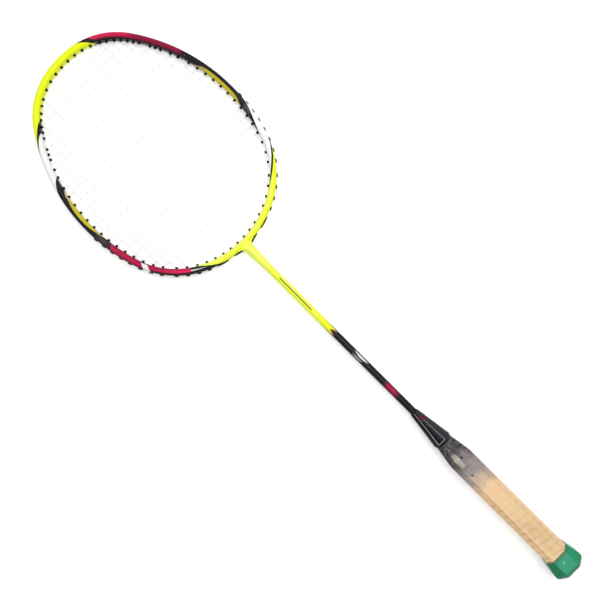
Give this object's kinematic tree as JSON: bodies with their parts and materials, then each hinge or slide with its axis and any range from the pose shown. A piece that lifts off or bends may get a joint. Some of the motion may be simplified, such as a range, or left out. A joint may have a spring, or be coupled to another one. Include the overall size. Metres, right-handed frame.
{
  "type": "badminton racket",
  "caption": "Badminton racket with an oval tubular hoop, woven string bed in grommets, thin shaft, cone cap, bare octagonal wooden handle and a moulded butt cap.",
  "frame": {"origin": "centre of the flat end face of the butt cap, on the shaft's axis", "axes": "+Y along the shaft from the butt to the tip of the hoop, +Z square to the string bed towards the front, +X across"},
  "size_m": [0.1918, 0.675, 0.0292],
  "materials": {
    "frame_paint": "glossy lacquer in yellow, crimson, black and white",
    "core_metal": "bare cast joint, hidden inside the throat",
    "shaft_paint": "glossy lacquer, black fading to yellow at the neck",
    "cone_plastic": "glossy black",
    "handle_wood": "bare wood, sprayed black towards the cone",
    "butt_plastic": "satin green moulding",
    "pin_steel": "darkened wire",
    "string_nylon": "smooth white nylon",
    "grommet_nylon": "black nylon"
  },
  "bodies": {
    "root": {"hoop_frame": "frame_paint", "throat_core": "core_metal", "shaft": "shaft_paint", "cone_cap": "cone_plastic", "handle_front": "handle_wood", "handle_back": "handle_wood", "butt_cap": "butt_plastic", "shaft_pin": "pin_steel", "handle_nail": "pin_steel", "main_string": "string_nylon", "cross_string": "string_nylon", "string_knots": "string_nylon", "grommets_crown": "grommet_nylon", "grommets_upper_left": "grommet_nylon", "grommets_upper_right": "grommet_nylon", "grommets_side_left": "grommet_nylon", "grommets_side_right": "grommet_nylon", "grommets_lower_left": "grommet_nylon", "grommets_lower_right": "grommet_nylon", "grommets_throat": "grommet_nylon", "throat_strip_left": "grommet_nylon", "throat_strip_right": "grommet_nylon"}
  },
  "joints": []
}
